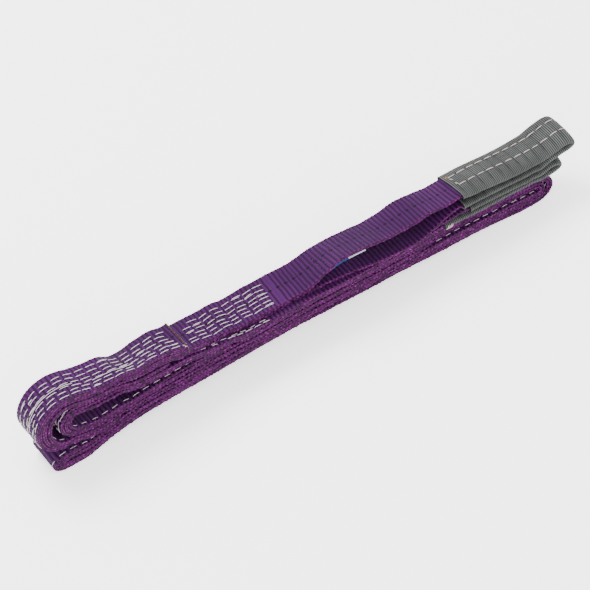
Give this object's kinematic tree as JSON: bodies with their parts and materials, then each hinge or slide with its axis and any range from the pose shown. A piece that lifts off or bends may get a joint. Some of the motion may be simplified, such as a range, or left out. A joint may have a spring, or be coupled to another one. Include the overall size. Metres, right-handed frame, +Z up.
{
  "type": "flat web sling",
  "caption": "Flat polyester web sling with ribbed violet webbing, sleeved lifting eyes and white stitching, folded into a long bundle.",
  "frame": {"origin": "bottom centre of the folded bundle", "axes": "+X along the bundle towards the eyes, -Y towards the near side, +Z up"},
  "size_m": [0.5202, 0.0378, 0.0779],
  "materials": {
    "violet_web": "ribbed woven polyester",
    "grey_sleeve": "fine ribbed woven tube",
    "white_thread": "twisted sewing thread",
    "label": "coated woven label, satin"
  },
  "bodies": {
    "bundle": {"web_one_body": "violet_web", "web_two_body": "violet_web", "web_two_tail": "violet_web", "web_one_tail": "violet_web", "near_edge_needle_thread": "white_thread", "near_edge_bobbin_thread": "white_thread", "far_edge_needle_thread": "white_thread", "far_edge_bobbin_thread": "white_thread", "upper_splice_thread": "white_thread", "lower_splice_thread": "white_thread"},
    "lower_eye": {"web_one_eye_loop": "violet_web", "web_two_top_root": "violet_web", "web_two_bottom_root": "violet_web", "lower_wear_sleeve": "grey_sleeve", "lower_sleeve_seam_thread": "white_thread"},
    "upper_eye": {"web_two_eye_loop": "violet_web", "upper_wear_sleeve": "grey_sleeve", "upper_sleeve_seam_thread": "white_thread", "label_tack_thread": "white_thread"},
    "label_flap": {"label": "label"}
  },
  "joints": [
    {"name": "lower_eye_lift", "type": "hinge", "parent": "bundle", "child": "lower_eye", "pos_m": [-0.02315, 0, 0.0522], "axis": [0, -1, 0], "range_deg": [0, 60]},
    {"name": "upper_eye_lift", "type": "hinge", "parent": "lower_eye", "child": "upper_eye", "pos_m": [0.00645, 0, 0.05718], "axis": [0, -1, 0], "range_deg": [0, 110]},
    {"name": "label_droop", "type": "hinge", "parent": "upper_eye", "child": "label_flap", "pos_m": [0.0089, 0, 0.05498], "axis": [0, 1, 0], "range_deg": [0, 9], "stiffness_Nm_per_rad": 0.02}
  ]
}
